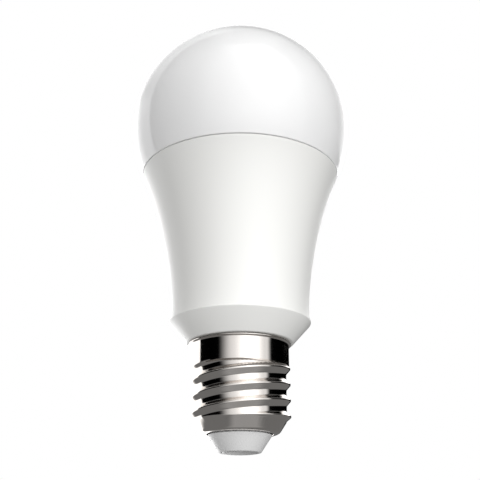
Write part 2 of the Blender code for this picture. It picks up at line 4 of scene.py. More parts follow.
import bmesh
import bpy
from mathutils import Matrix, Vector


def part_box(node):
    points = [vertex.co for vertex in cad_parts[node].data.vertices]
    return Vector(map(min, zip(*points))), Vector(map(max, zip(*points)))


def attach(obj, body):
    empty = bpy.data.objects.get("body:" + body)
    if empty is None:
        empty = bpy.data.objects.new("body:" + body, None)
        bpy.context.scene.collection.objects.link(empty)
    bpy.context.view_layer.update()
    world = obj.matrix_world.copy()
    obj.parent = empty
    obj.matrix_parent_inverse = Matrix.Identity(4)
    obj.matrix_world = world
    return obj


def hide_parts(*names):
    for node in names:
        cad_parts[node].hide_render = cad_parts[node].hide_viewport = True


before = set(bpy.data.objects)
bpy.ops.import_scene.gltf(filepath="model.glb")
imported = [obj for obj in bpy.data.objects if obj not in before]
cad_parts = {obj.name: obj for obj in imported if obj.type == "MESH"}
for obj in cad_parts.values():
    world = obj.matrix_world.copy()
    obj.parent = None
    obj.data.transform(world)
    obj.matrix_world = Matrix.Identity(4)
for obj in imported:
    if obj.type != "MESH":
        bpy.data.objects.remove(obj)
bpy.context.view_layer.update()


# ---------------------------------------------------------------------------
# Globe: opal polycarbonate, blown in one piece and glossy outside. Its spigot
# drops into the housing's mouth and its foot sits a hair above the housing's rim.

MM = 0.001


def turned_mesh(name, outline, sides):
    """Spin a closed outline of (radius, height) points about the lamp's axis."""
    shape = bmesh.new()
    points = [shape.verts.new((radius, 0.0, height)) for radius, height in outline]
    edges = []
    for here, there in zip(points, points[1:] + points[:1]):
        if here.co.x > 0.0 or there.co.x > 0.0:
            edges.append(shape.edges.new((here, there)))
    bmesh.ops.spin(shape, geom=points + edges, axis=(0, 0, 1), cent=(0, 0, 0),
                   angle=math.tau, steps=sides, use_merge=True)
    return closed_mesh(name, shape)


def closed_mesh(name, shape, crease=32):
    """Merge doubles, face every side outwards and shade the round sides smooth."""
    bmesh.ops.remove_doubles(shape, verts=shape.verts, dist=MM / 2000)
    bmesh.ops.recalc_face_normals(shape, faces=shape.faces)
    mesh = bpy.data.meshes.new(name)
    shape.to_mesh(mesh)
    shape.free()
    mesh.shade_smooth()
    mesh.set_sharp_from_angle(angle=math.radians(crease))
    return mesh


def softened(corners, steps=4):
    """Round each (radius, height, fillet) corner of a closed outline by its fillet."""
    outline = []
    for k, (radius, height, fillet) in enumerate(corners):
        if fillet == 0.0:
            outline.append((radius, height))
            continue
        ends = []
        for other in (corners[k - 1], corners[(k + 1) % len(corners)]):
            away = (other[0] - radius, other[1] - height)
            reach = fillet / math.hypot(*away)
            ends.append((radius + away[0] * reach, height + away[1] * reach))
        for step in range(steps + 1):
            t = step / steps
            weights = ((1 - t) ** 2, 2 * t * (1 - t), t * t)
            outline.append(tuple(
                weights[0] * a + weights[1] * b + weights[2] * c
                for a, b, c in zip(ends[0], (radius, height), ends[1])))
    return outline


def add_piece(name, mesh, material, node):
    """Put a finished mesh in place of its CAD node, on the lamp's one body."""
    piece = bpy.data.objects.new(name, mesh)
    bpy.context.scene.collection.objects.link(piece)
    mesh.materials.append(material)
    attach(piece, "root")
    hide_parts(node)
    return piece


FINISH_OUTPUTS = {"Colour": "NodeSocketColor", "Roughness": "NodeSocketFloat",
                  "Height": "NodeSocketFloat"}


def new_group(name, inputs, outputs=FINISH_OUTPUTS):
    """An empty shader node group with named sockets, and its two ends."""
    kinds = {1: "NodeSocketFloat", 3: "NodeSocketVector", 4: "NodeSocketColor"}
    tree = bpy.data.node_groups.new(name, "ShaderNodeTree")
    for label, value in inputs.items():
        kind = kinds[len(value) if isinstance(value, tuple) else 1]
        socket = tree.interface.new_socket(label, in_out="INPUT", socket_type=kind)
        socket.default_value = value
    for label, kind in outputs.items():
        tree.interface.new_socket(label, in_out="OUTPUT", socket_type=kind)
    return tree, tree.nodes.new("NodeGroupInput"), tree.nodes.new("NodeGroupOutput")


def put_out(tree, sink, **results):
    """Link a group's results to its outputs of the same names."""
    for label, socket in results.items():
        tree.links.new(socket, sink.inputs[label])


def object_place(tree):
    """Coordinates that stay on the piece, in metres."""
    return tree.nodes.new("ShaderNodeTexCoord").outputs["Object"]


def noise(tree, vector, scale, detail=3.0, roughness=0.5):
    """A noise texture on the given coordinates; the scale may be a socket."""
    node = tree.nodes.new("ShaderNodeTexNoise")
    node.inputs["Detail"].default_value = detail
    node.inputs["Roughness"].default_value = roughness
    if isinstance(scale, bpy.types.NodeSocket):
        tree.links.new(scale, node.inputs["Scale"])
    else:
        node.inputs["Scale"].default_value = scale
    tree.links.new(vector, node.inputs["Vector"])
    return node.outputs["Fac"]


def blended(tree, factor, low, high, kind="RGBA"):
    """Mix two colours, or with kind FLOAT two numbers, by a factor."""
    node = tree.nodes.new("ShaderNodeMix")
    node.data_type = kind
    # the Mix node has one pair of inputs and one output for each kind of value
    low_spot, high_spot, result = {"RGBA": (6, 7, 2), "FLOAT": (2, 3, 0)}[kind]
    tree.links.new(factor, node.inputs["Factor"])
    for spot, value in ((low_spot, low), (high_spot, high)):
        if isinstance(value, bpy.types.NodeSocket):
            tree.links.new(value, node.inputs[spot])
        else:
            node.inputs[spot].default_value = value
    return node.outputs[result]


def gloss_between(tree, source, factor):
    """Roughness between the group's Smooth and Rough inputs, by a factor."""
    return blended(tree, factor, source.outputs["Smooth"], source.outputs["Rough"], "FLOAT")


def make_moulded_skin():
    """Moulded plastic: faint cloudy flow marks, fine grain and slight gloss changes."""
    tree, source, sink = new_group("moulded_skin", {
        "Colour": (0.8, 0.8, 0.8, 1), "Flow Colour": (0.78, 0.78, 0.77, 1),
        "Grain Scale": 4000.0, "Smooth": 0.2, "Rough": 0.3})
    place = object_place(tree)
    flow = noise(tree, place, scale=45.0, detail=2.0)
    grain = noise(tree, place, source.outputs["Grain Scale"])
    put_out(tree, sink, Height=grain, Roughness=gloss_between(tree, source, grain),
            Colour=blended(tree, flow, source.outputs["Colour"],
                           source.outputs["Flow Colour"]))
    return tree


def finish_with(name, group, settings, bump, metallic=0.0, **shader_values):
    """A material whose shader is fed by a finish group; bump is (strength, depth)."""
    material = bpy.data.materials.new(name)
    material.use_nodes = True
    tree = material.node_tree
    shader = tree.nodes["Principled BSDF"]
    node = tree.nodes.new("ShaderNodeGroup")
    node.node_tree = group
    for label, value in settings.items():
        node.inputs[label].default_value = value
    tree.links.new(node.outputs["Colour"], shader.inputs["Base Color"])
    tree.links.new(node.outputs["Roughness"], shader.inputs["Roughness"])
    relief = tree.nodes.new("ShaderNodeBump")
    relief.inputs["Strength"].default_value, relief.inputs["Distance"].default_value = bump
    tree.links.new(node.outputs["Height"], relief.inputs["Height"])
    tree.links.new(relief.outputs["Normal"], shader.inputs["Normal"])
    shader.inputs["Metallic"].default_value = metallic
    for label, value in shader_values.items():
        shader.inputs[label.replace("_", " ")].default_value = value
    return material


globe_low, globe_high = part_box("diffuser_globe")
housing_low, housing_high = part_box("housing_shell")
GLOBE_RADIUS = globe_high.x
GLOBE_CROWN = globe_high.z
GLOBE_EQUATOR = 90.0 * MM
GLOBE_DROP = 33.2 * MM       # lower half-axis of the ellipse that meets the housing
GLOBE_WALL = 1.3 * MM
SPIGOT_FOOT = globe_low.z
SPIGOT_INSET = 2.0 * MM      # from the housing's mouth to the spigot
SPIGOT_LEAN = 1.25 * MM
RIM = housing_high.z
GLOBE_FOOT = RIM + 0.25 * MM
FOOT_BEVEL = 0.2 * MM        # the globe's skin starts this far above its foot
FINE = 160                   # sides of the turned outer pieces


def globe_curve(inset, foot, steps):
    """The globe's section from a foot height up to its crown, moved in by the inset."""
    start = -math.asin((GLOBE_EQUATOR - foot) / GLOBE_DROP)
    rise = GLOBE_CROWN - GLOBE_EQUATOR
    curve = []
    for step in range(steps + 1):
        angle = start + (math.pi / 2 - start) * step / steps
        axis = rise if angle > 0 else GLOBE_DROP
        curve.append(((GLOBE_RADIUS - inset) * math.cos(angle),
                      GLOBE_EQUATOR + (axis - inset) * math.sin(angle)))
    curve[-1] = (0.0, curve[-1][1])
    return curve


def make_globe():
    """Outer skin, inner skin, rounded foot and the spigot inside the housing."""
    outer = globe_curve(0.0, GLOBE_FOOT + FOOT_BEVEL, 72)
    inner = globe_curve(GLOBE_WALL, GLOBE_FOOT + GLOBE_WALL, 40)
    skirt = outer[0][0]
    mouth = housing_high.x - SPIGOT_INSET
    foot = softened([
        (mouth - SPIGOT_LEAN - GLOBE_WALL, SPIGOT_FOOT, 0.3 * MM),
        (mouth - SPIGOT_LEAN, SPIGOT_FOOT, 0.3 * MM),
        (mouth, RIM, 0.0),
        (mouth, GLOBE_FOOT, 0.1 * MM),
        (skirt - 0.05 * MM, GLOBE_FOOT, 0.15 * MM),
        (*outer[0], 0.0),
    ])
    outline = foot + outer[1:] + inner[::-1]
    return turned_mesh("globe", outline, FINE)


moulded_skin = make_moulded_skin()
opal = finish_with("opal_polycarbonate", moulded_skin, {
    "Colour": (0.98, 0.98, 0.98, 1), "Flow Colour": (0.97, 0.97, 0.97, 1),
    "Grain Scale": 900.0, "Smooth": 0.07, "Rough": 0.11,
}, (0.05, 0.02 * MM), Sheen_Weight=0.45, Sheen_Roughness=0.7,
    Subsurface_Weight=0.3, Subsurface_Scale=3 * MM,
    Subsurface_Radius=(1.0, 1.0, 1.0), Coat_Weight=0.3, Coat_Roughness=0.04)
add_piece("globe", make_globe(), opal, "diffuser_globe")


# ---------------------------------------------------------------------------
# Housing: satin warm-white plastic, injection-moulded. A waisted wall flares up
# to the globe, a chamfered collar closes its foot, and a neck goes down the cap.

WAIST_RADIUS = 18.35 * MM
WAIST_FOOT = 33.4 * MM
WALL_HANDLES = ((17.55 * MM, 41.0 * MM), (20.9 * MM, 62.2 * MM))
WALL_THICKNESS = 1.7 * MM
LIP_RADIUS = 18.6 * MM
LIP_HEIGHT = 33.0 * MM
COLLAR_FOOT = 27.8 * MM
COLLAR_FOOT_RADIUS = 13.9 * MM
NECK_RADIUS = 10.95 * MM
NECK_BORE = 9.4 * MM
BORE_TOP = 29.4 * MM         # from here the inside widens in two steps to the wall
THROAT_RADIUS = 11.0 * MM
THROAT_HEIGHT = 30.2 * MM
INNER_START = 0.06           # share of the wall's curve below the inner side's foot


def wall_curve(inset, steps, low=0.0):
    """The waisted wall from foot to mouth, moved inwards by the inset."""
    corners = ((WAIST_RADIUS, WAIST_FOOT), *WALL_HANDLES, (housing_high.x, RIM))
    curve = []
    for step in range(steps + 1):
        t = low + (1 - low) * step / steps
        weights = ((1 - t) ** 3, 3 * t * (1 - t) ** 2, 3 * t * t * (1 - t), t ** 3)
        curve.append((sum(w * c[0] for w, c in zip(weights, corners)) - inset,
                      sum(w * c[1] for w, c in zip(weights, corners))))
    return curve


def make_housing():
    """Neck, collar, wall, rounded rim and the inner side."""
    collar = softened([
        (NECK_BORE, housing_low.z, 0.2 * MM),
        (NECK_RADIUS, housing_low.z, 0.3 * MM),
        (NECK_RADIUS, COLLAR_FOOT, 0.2 * MM),
        (COLLAR_FOOT_RADIUS, COLLAR_FOOT, 0.2 * MM),
        (LIP_RADIUS, LIP_HEIGHT, 0.15 * MM),
        (LIP_RADIUS, LIP_HEIGHT + 0.28 * MM, 0.1 * MM),
        (WAIST_RADIUS, WAIST_FOOT, 0.0),
    ])
    outer = wall_curve(0.0, 60)
    inner = wall_curve(WALL_THICKNESS, 24, INNER_START)
    rim = softened([
        (*outer[-2], 0.0),
        (*outer[-1], 0.2 * MM),
        (*inner[-1], 0.2 * MM),
        (*inner[-2], 0.0),
    ])
    outline = collar + outer[1:-2] + rim + inner[-3::-1]
    outline += [(THROAT_RADIUS, THROAT_HEIGHT), (NECK_BORE, BORE_TOP)]
    return turned_mesh("housing", outline, FINE)


housing_white = finish_with("housing_plastic", moulded_skin, {
    "Colour": (0.84, 0.84, 0.82, 1), "Flow Colour": (0.825, 0.825, 0.805, 1),
    "Grain Scale": 6000.0, "Smooth": 0.30, "Rough": 0.36,
}, (0.12, 0.03 * MM))
add_piece("housing", make_housing(), housing_white, "housing_shell")


# ---------------------------------------------------------------------------
# Screw shell: thin brass sheet, drawn to a cup, rolled with the lamp cap's round
# thread and nickel-plated bright. The band above it ends in a small flared rim.

shell_low, shell_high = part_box("screw_shell")
RIDGE_SPACING = 4.03 * MM    # from one crest to the next, straight up the shell
RIDGE_RISE = 8.06 * MM       # climb of one crest in a full turn
FRONT_CREST = 14.82 * MM     # height of a crest where it crosses the front
CREST_RADIUS = 12.95 * MM
ROOT_RADIUS = 11.85 * MM
CREST_LAND = 0.4 * MM       # short upright wall along each crest
LOWER_FLANK = 1.2 * MM
UPPER_FLANK = 0.95 * MM
CREST_EASE = 0.07            # share of the thread's depth lost in rounding its corners
ROOT_EASE = 0.14
THREAD_FOOT = 7.5 * MM
THREAD_FULL = 8.5 * MM       # the ridge has its full depth from here up
CUP_TOP = 7.95 * MM
CUP_TAPER = 0.3              # how much the cup narrows for its height
CUP_FLOOR_RADIUS = 9.95 * MM
THREAD_HEAD = 21.4 * MM
HEAD_BLEND = 0.3 * MM        # the thread ends on the band over this height
BAND_RADIUS = 12.67 * MM
FLARE = 0.42 * MM            # height of the flared rim on the band
SHEET = 0.35 * MM
HOLE_RADIUS = 8.35 * MM
SHELL_SIDES = 144
RIDGES = 7                   # spacings of ridge that a section is built from
OUTER_ROWS = 38              # points of a section on each spacing, outside and inside
INNER_ROWS = 12


def ramp(value, low, high):
    """0 below the low value, 1 above the high one, and a smooth rise between."""
    t = min(1.0, max(0.0, (value - low) / (high - low)))
    return t * t * (3 - 2 * t)


def soft_least(a, b, ease=CREST_EASE):
    """The smaller of two values, with the change from one to the other eased."""
    return 0.5 * (a + b - math.hypot(a - b, ease))


def ridge_form(above):
    """Height of the ridge, 0 at the root and near 1 at its crest, that far above it."""
    lower = 1 + above / LOWER_FLANK
    upper = 1 - (above - CREST_LAND) / UPPER_FLANK
    return -soft_least(-soft_least(soft_least(lower, upper), 1.0), 0.0, ROOT_EASE)


def crest_height(angle):
    """Height of one crest where it passes the given angle round the axis."""
    return FRONT_CREST + RIDGE_RISE * (angle / math.tau + 0.25)


def thread_radius(angle, height):
    """Outer radius of the rolled sheet between the cup and the band."""
    half = 0.5 * RIDGE_SPACING
    above = (height - crest_height(angle) + half) % RIDGE_SPACING - half
    form = ridge_form(above) / ridge_form(CREST_LAND / 2)
    form *= ramp(height, THREAD_FOOT, THREAD_FULL)
    base = ROOT_RADIUS - CUP_TAPER * max(0.0, CUP_TOP - height)
    radius = base + (CREST_RADIUS - base) * form
    blend = min(1.0, max(0.0, 1 - (THREAD_HEAD - height) / HEAD_BLEND))
    return radius + (BAND_RADIUS - radius) * blend


def thread_points(angle, rows):
    """Points up the thread that follow its ridges, held between the cup and the band."""
    lowest = crest_height(angle) - RIDGE_RISE - RIDGES / 2 * RIDGE_SPACING
    points = []
    for row in range(RIDGES * rows + 1):
        height = lowest + row / rows * RIDGE_SPACING
        height = min(THREAD_HEAD, max(THREAD_FOOT, height))
        points.append((thread_radius(angle, height), height))
    return points


def shell_section(angle):
    """One closed section of the shell, outside first and then back along the inside."""
    floor, top = shell_low.z, shell_high.z
    side = thread_radius(0.0, THREAD_FOOT)
    cup = softened([
        (HOLE_RADIUS, floor + SHEET, 0.0),
        (HOLE_RADIUS, floor, 0.12 * MM),
        (CUP_FLOOR_RADIUS, floor + 0.15 * MM, 0.85 * MM),
        (side, THREAD_FOOT, 0.0),
    ], 6)[:-1]
    inner_cup = softened([
        (0.0, 0.0, 0.0),
        (side - SHEET, THREAD_FOOT, 0.0),
        (CUP_FLOOR_RADIUS - 0.2 * MM, floor + SHEET + 0.15 * MM, 0.7 * MM),
        (HOLE_RADIUS, floor + SHEET, 0.0),
    ])[2:-1]
    rim = softened([
        (BAND_RADIUS, THREAD_HEAD, 0.0),
        (BAND_RADIUS, THREAD_HEAD + 0.15 * MM, 0.0),
        (BAND_RADIUS, THREAD_HEAD + 1.2 * MM, 0.0),
        (BAND_RADIUS, top - 1.5 * MM, 0.0),
        (BAND_RADIUS, top - FLARE, 0.14 * MM),
        (shell_high.x, top - 0.25 * MM, 0.08 * MM),
        (shell_high.x, top, 0.08 * MM),
        (BAND_RADIUS - SHEET, top, 0.1 * MM),
        (BAND_RADIUS - SHEET, THREAD_HEAD, 0.0),
    ])[1:-1]
    outside = thread_points(angle, OUTER_ROWS)
    inside = [(radius - SHEET, height) for radius, height in thread_points(angle, INNER_ROWS)]
    return cup + outside + rim + inside[::-1] + inner_cup


def make_screw_shell():
    """Join the sections round the axis into one sheet-metal shell."""
    shape = bmesh.new()
    rings = []
    for side in range(SHELL_SIDES + 1):
        angle = math.tau * side / SHELL_SIDES
        rings.append([
            shape.verts.new((radius * math.cos(angle), radius * math.sin(angle), height))
            for radius, height in shell_section(angle)])
    for near, far in zip(rings, rings[1:]):
        for k in range(len(near)):
            shape.faces.new((near[k - 1], far[k - 1], far[k], near[k]))
    return closed_mesh("screw_shell", shape, 50)


def make_drawn_metal():
    """Drawn or rolled metal: fine lines round the axis, faint stains and soft scuffs."""
    tree, source, sink = new_group("drawn_metal", {
        "Colour": (0.7, 0.7, 0.7, 1), "Stain Colour": (0.6, 0.6, 0.58, 1),
        "Stain": 0.5, "Smooth": 0.1, "Rough": 0.2})
    place = object_place(tree)
    stretch = tree.nodes.new("ShaderNodeMapping")
    stretch.inputs["Scale"].default_value = (60.0, 60.0, 9000.0)
    tree.links.new(place, stretch.inputs["Vector"])
    lines = noise(tree, stretch.outputs["Vector"], scale=1.0)
    clouds = noise(tree, place, scale=160.0, detail=4.0, roughness=0.6)
    patch = tree.nodes.new("ShaderNodeMapRange")
    patch.interpolation_type = "SMOOTHSTEP"
    patch.inputs["From Min"].default_value = 0.45
    patch.inputs["From Max"].default_value = 0.75
    tree.links.new(clouds, patch.inputs["Value"])
    tree.links.new(source.outputs["Stain"], patch.inputs["To Max"])
    put_out(tree, sink, Height=lines, Roughness=gloss_between(tree, source, lines),
            Colour=blended(tree, patch.outputs["Result"], source.outputs["Colour"],
                           source.outputs["Stain Colour"]))
    return tree


drawn_metal = make_drawn_metal()
nickel = finish_with("nickel_plate", drawn_metal, {
    "Colour": (0.825, 0.785, 0.75, 1), "Stain Colour": (0.785, 0.74, 0.695, 1),
    "Stain": 0.6, "Smooth": 0.06, "Rough": 0.12,
}, (0.04, 0.01 * MM), 1.0)
add_piece("screw_shell_rolled", make_screw_shell(), nickel, "screw_shell")


# ---------------------------------------------------------------------------
# Cap insulator: light grey moulded plastic cone, held in the cup's hole by a
# flange inside. The contact disc sits in a shallow recess at its foot.

insulator_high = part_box("cap_insulator")[1]
contact_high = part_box("centre_contact")[1]
RIVET_BORE = 1.4 * MM
RECESS_RADIUS = contact_high.x + 0.15 * MM
RECESS_DEPTH = 0.9 * MM
INSULATOR_FOOT = 0.15 * MM
CONE_FOOT_RADIUS = 5.3 * MM
CONE_TOP_RADIUS = 8.12 * MM
CONE_TOP = 4.38 * MM
HOLE_NECK_RADIUS = 7.2 * MM
HOLE_NECK_FOOT = 4.5 * MM
FLANGE_FOOT = 5.3 * MM
FLANGE_TOP = 6.5 * MM
BOSS_FOOT_RADIUS = 4.0 * MM
BOSS_TOP_RADIUS = 3.4 * MM
FINE_SMALL = 96              # sides of the two small turned pieces


def make_insulator():
    """Cone, neck through the hole, flange and the boss round the rivet."""
    outline = softened([
        (RIVET_BORE, RECESS_DEPTH, 0.0),
        (RECESS_RADIUS, RECESS_DEPTH, 0.0),
        (RECESS_RADIUS, INSULATOR_FOOT, 0.06 * MM),
        (CONE_FOOT_RADIUS, INSULATOR_FOOT, 0.25 * MM),
        (CONE_TOP_RADIUS, CONE_TOP, 0.08 * MM),
        (HOLE_NECK_RADIUS, HOLE_NECK_FOOT, 0.0),
        (HOLE_NECK_RADIUS, FLANGE_FOOT, 0.0),
        (insulator_high.x, FLANGE_FOOT, 0.1 * MM),
        (insulator_high.x, FLANGE_TOP, 0.1 * MM),
        (BOSS_FOOT_RADIUS, FLANGE_TOP, 0.2 * MM),
        (BOSS_TOP_RADIUS, insulator_high.z, 0.2 * MM),
        (RIVET_BORE, insulator_high.z, 0.0),
    ])
    return turned_mesh("insulator", outline, FINE_SMALL)


insulator_grey = finish_with("cap_insulator_plastic", moulded_skin, {
    "Colour": (0.72, 0.72, 0.72, 1), "Flow Colour": (0.70, 0.70, 0.70, 1),
    "Grain Scale": 3000.0, "Smooth": 0.32, "Rough": 0.42,
}, (0.06, 0.02 * MM))
add_piece("insulator_cone", make_insulator(), insulator_grey, "cap_insulator")


# ---------------------------------------------------------------------------
# Centre contact: tinned brass disc with a turned-over edge, riveted through the
# insulator; its face is flat where the holder's tongue presses.

DISC_THICKNESS = 0.6 * MM
RIVET_RADIUS = 1.1 * MM


def make_contact():
    """Disc, flat face, rolled edge and the rivet stem."""
    radius, top = contact_high.x, contact_high.z
    outline = softened([
        (0.0, 0.0, 0.0),
        (radius - 0.05 * MM, 0.0, 0.3 * MM),
        (radius, DISC_THICKNESS, 0.05 * MM),
        (RIVET_RADIUS, DISC_THICKNESS, 0.0),
        (RIVET_RADIUS, top, 0.2 * MM),
        (0.0, top, 0.0),
    ])
    return turned_mesh("contact", outline, FINE_SMALL)


tinned_contact = finish_with("tinned_contact", drawn_metal, {
    "Colour": (0.62, 0.62, 0.62, 1), "Stain Colour": (0.53, 0.53, 0.52, 1),
    "Stain": 0.7, "Smooth": 0.34, "Rough": 0.46,
}, (0.08, 0.01 * MM), 0.45)
add_piece("contact_disc", make_contact(), tinned_contact, "centre_contact")


# ---------------------------------------------------------------------------
# Diffuser bond: a bead of white silicone in the housing's mouth. It glues the
# globe's spigot down and cures with a soft, slightly lumpy gloss.

def refinish(material, *nodes):
    """Give pieces that keep the shape they have a better material."""
    for node in nodes:
        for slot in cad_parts[node].material_slots:
            slot.material = material


silicone = finish_with("silicone_bead", moulded_skin, {
    "Colour": (0.82, 0.82, 0.81, 1), "Flow Colour": (0.77, 0.77, 0.75, 1),
    "Grain Scale": 700.0, "Smooth": 0.35, "Rough": 0.5,
}, (0.5, 0.15 * MM))
refinish(silicone, "diffuser_bond")


# ---------------------------------------------------------------------------
# Heat sink and thermal pad: a cup deep-drawn from aluminium sheet, pressed into
# the housing, and a grey silicone pad on a glass weave that the LED board sits on.

def calc(tree, operation, *values):
    """The result of one math node on numbers or sockets."""
    node = tree.nodes.new("ShaderNodeMath")
    node.operation = operation
    for spot, value in enumerate(values):
        if isinstance(value, bpy.types.NodeSocket):
            tree.links.new(value, node.inputs[spot])
        else:
            node.inputs[spot].default_value = value
    return node.outputs[0]


def across_and_along(tree):
    """Flat coordinates that suit both a level board and an upright one."""
    axes = tree.nodes.new("ShaderNodeSeparateXYZ")
    tree.links.new(object_place(tree), axes.inputs[0])
    along = calc(tree, "ADD", axes.outputs["Y"], axes.outputs["Z"])
    flat = tree.nodes.new("ShaderNodeCombineXYZ")
    tree.links.new(axes.outputs["X"], flat.inputs["X"])
    tree.links.new(along, flat.inputs["Y"])
    return axes.outputs["X"], along, flat.outputs[0]


def make_glass_weave():
    """Woven glass cloth under a filled resin or rubber, seen as a fine chequer."""
    tree, source, sink = new_group("glass_weave", {
        "Colour": (0.5, 0.5, 0.5, 1), "Thread Colour": (0.55, 0.55, 0.55, 1),
        "Threads": 9000.0, "Smooth": 0.6, "Rough": 0.8})
    across, along, flat = across_and_along(tree)
    warp = calc(tree, "SINE", calc(tree, "MULTIPLY", across, source.outputs["Threads"]))
    weft = calc(tree, "SINE", calc(tree, "MULTIPLY", along, source.outputs["Threads"]))
    chequer = calc(tree, "MULTIPLY_ADD", calc(tree, "MULTIPLY", warp, weft), 0.5, 0.5)
    speckle = noise(tree, flat, scale=2500.0)
    put_out(tree, sink, Height=calc(tree, "ADD", chequer, speckle),
            Roughness=gloss_between(tree, source, speckle),
            Colour=blended(tree, chequer, source.outputs["Colour"],
                           source.outputs["Thread Colour"]))
    return tree


glass_weave = make_glass_weave()
aluminium = finish_with("drawn_aluminium", drawn_metal, {
    "Colour": (0.78, 0.79, 0.80, 1), "Stain Colour": (0.66, 0.67, 0.68, 1),
    "Stain": 0.8, "Smooth": 0.28, "Rough": 0.46,
}, (0.25, 0.03 * MM), 1.0)
gap_pad = finish_with("thermal_rubber", glass_weave, {
    "Colour": (0.42, 0.44, 0.48, 1), "Thread Colour": (0.50, 0.52, 0.55, 1),
    "Threads": 7000.0, "Smooth": 0.65, "Rough": 0.85,
}, (0.4, 0.03 * MM))
refinish(aluminium, "heat_sink")
refinish(gap_pad, "thermal_pad")


# ---------------------------------------------------------------------------
# Circuit boards: a white aluminium-backed disc for the LEDs, a green glass-epoxy
# driver board and a small black radio board, all with copper under solder mask.

def make_board_laminate():
    """Solder mask over copper areas, raised slightly, with fine dust on the gloss."""
    tree, source, sink = new_group("board_laminate", {
        "Mask Colour": (0.1, 0.3, 0.1, 1), "Copper Colour": (0.2, 0.4, 0.2, 1),
        "Area Width": 6 * MM, "Area Height": 3 * MM, "Smooth": 0.25, "Rough": 0.4})
    flat = across_and_along(tree)[2]
    areas = tree.nodes.new("ShaderNodeTexBrick")
    areas.offset = 0.37
    areas.squash = 1.6
    areas.squash_frequency = 3
    areas.inputs["Scale"].default_value = 1.0
    areas.inputs["Mortar Size"].default_value = 0.18 * MM
    areas.inputs["Mortar Smooth"].default_value = 0.3
    tree.links.new(flat, areas.inputs["Vector"])
    tree.links.new(source.outputs["Area Width"], areas.inputs["Brick Width"])
    tree.links.new(source.outputs["Area Height"], areas.inputs["Row Height"])
    speckle = noise(tree, flat, scale=1800.0)
    put_out(tree, sink, Roughness=gloss_between(tree, source, speckle),
            Height=calc(tree, "MULTIPLY_ADD", areas.outputs["Fac"], -1.0, speckle),
            Colour=blended(tree, areas.outputs["Fac"], source.outputs["Copper Colour"],
                           source.outputs["Mask Colour"]))
    return tree


board_laminate = make_board_laminate()
for board, mask_colour, copper_colour, area in (
        ("led_board", (0.86, 0.86, 0.84), (0.89, 0.89, 0.87), (7.0, 3.2)),
        ("driver_board", (0.03, 0.16, 0.06), (0.07, 0.27, 0.10), (5.2, 2.6)),
        ("radio_board", (0.018, 0.018, 0.02), (0.045, 0.045, 0.05), (2.4, 1.3))):
    laminate = finish_with(board + "_laminate", board_laminate, {
        "Mask Colour": (*mask_colour, 1), "Copper Colour": (*copper_colour, 1),
        "Area Width": area[0] * MM, "Area Height": area[1] * MM,
        "Smooth": 0.24, "Rough": 0.42,
    }, (0.4, 0.03 * MM))
    refinish(laminate, board)


# ---------------------------------------------------------------------------
# LEDs: surface-mount packages, a white moulded frame filled to the top with
# phosphor on the twelve white ones and with clear resin on the four colour ones.

def make_banded_body():
    """A body whose finish changes in one band along an axis, with lines round the band."""
    tree, source, sink = new_group("banded_body", {
        "Colour": (0.8, 0.8, 0.8, 1), "Band Colour": (0.6, 0.6, 0.6, 1),
        "Along": (0.0, 0.0, 1.0), "Band Start": 0.0, "Band End": MM,
        "Lines": 5000.0, "Smooth": 0.3, "Rough": 0.5},
        {**FINISH_OUTPUTS, "Band": "NodeSocketFloat"})
    place = object_place(tree)
    along = tree.nodes.new("ShaderNodeVectorMath")
    along.operation = "DOT_PRODUCT"
    tree.links.new(place, along.inputs[0])
    tree.links.new(source.outputs["Along"], along.inputs[1])
    reach = along.outputs["Value"]
    band = calc(tree, "MULTIPLY",
                calc(tree, "GREATER_THAN", reach, source.outputs["Band Start"]),
                calc(tree, "LESS_THAN", reach, source.outputs["Band End"]))
    grain = noise(tree, place, scale=1500.0)
    lines = calc(tree, "SINE", calc(tree, "MULTIPLY", reach, source.outputs["Lines"]))
    shade = calc(tree, "MULTIPLY_ADD", grain, 0.3, 0.85)
    tint = blended(tree, band, source.outputs["Colour"], source.outputs["Band Colour"])
    shaded = tree.nodes.new("ShaderNodeVectorMath")
    shaded.operation = "SCALE"
    tree.links.new(tint, shaded.inputs[0])
    tree.links.new(shade, shaded.inputs["Scale"])
    put_out(tree, sink, Colour=shaded.outputs["Vector"], Band=band,
            Roughness=gloss_between(tree, source, grain),
            Height=calc(tree, "MULTIPLY_ADD", lines, band, grain))
    return tree


def bare_metal_band(material):
    """Let the band of a banded body show as bare metal."""
    tree = material.node_tree
    group = next(node for node in tree.nodes if node.type == "GROUP")
    tree.links.new(group.outputs["Band"], tree.nodes["Principled BSDF"].inputs["Metallic"])


banded_body = make_banded_body()
led_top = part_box("led_white_01")[1].z
FILLING_DEPTH = 0.15 * MM    # how far down from the top the filling shows
for family, count, filling in (("led_white", 12, (0.93, 0.70, 0.16)),
                               ("led_colour", 4, (0.84, 0.90, 0.90))):
    package = finish_with(family + "_package", banded_body, {
        "Colour": (0.92, 0.92, 0.90, 1), "Band Colour": (*filling, 1),
        "Band Start": led_top - FILLING_DEPTH, "Band End": led_top + MM,
        "Lines": 0.0, "Smooth": 0.25, "Rough": 0.4,
    }, (0.2, 0.02 * MM))
    refinish(package, *(f"{family}_{number + 1:02d}" for number in range(count)))


# ---------------------------------------------------------------------------
# Board screws: two zinc-plated steel pan heads, which pull the LED board and the
# pad down on the heat sink.

screw_steel = finish_with("zinc_plated_steel", drawn_metal, {
    "Colour": (0.62, 0.62, 0.63, 1), "Stain Colour": (0.50, 0.49, 0.44, 1),
    "Stain": 0.7, "Smooth": 0.22, "Rough": 0.4,
}, (0.15, 0.02 * MM), 1.0)
refinish(screw_steel, "board_screw_left", "board_screw_right")


# ---------------------------------------------------------------------------
# Driver sleeve: a tube of pale polyester that slips over the driver board and keeps
# the mains parts clear of the heat sink.

